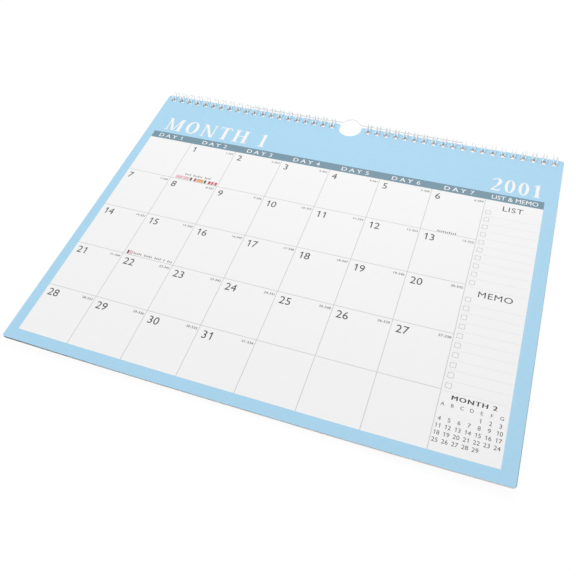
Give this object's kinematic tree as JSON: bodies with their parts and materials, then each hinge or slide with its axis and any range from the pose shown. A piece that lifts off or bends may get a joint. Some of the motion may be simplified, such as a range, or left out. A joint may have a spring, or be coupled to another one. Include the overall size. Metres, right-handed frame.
{
  "type": "wall calendar",
  "caption": "Wire-bound wall calendar lying face up: a printed month leaf with a day grid, a back board, twin-loop binding wires and a wire hanger over a thumb notch.",
  "frame": {"origin": "under the middle of the calendar, on the surface that it lies on, face up", "axes": "+X right along the binding, +Y up the page towards the binding, +Z out of the printed face"},
  "size_m": [0.37, 0.3036, 0.0088],
  "materials": {
    "leaf_paper": "satin",
    "board_card": "matte",
    "binding_wire": "gloss",
    "hanger_wire": "gloss"
  },
  "bodies": {
    "backing": {"back_board": "board_card", "left_binding_wire": "binding_wire", "right_binding_wire": "binding_wire"},
    "leaves": {"page_block": "leaf_paper"},
    "hanger": {"wire_hanger": "hanger_wire"}
  },
  "joints": [
    {"name": "page_turn", "type": "hinge", "parent": "backing", "child": "leaves", "pos_m": [0, 0.14242, 0.0044], "axis": [-1, 0, 0], "range_deg": [0, 180]},
    {"name": "hanger_swing", "type": "hinge", "parent": "backing", "child": "hanger", "pos_m": [0, 0.14527, 0.00439], "axis": [1, 0, 0], "range_deg": [-90, 90]}
  ]
}
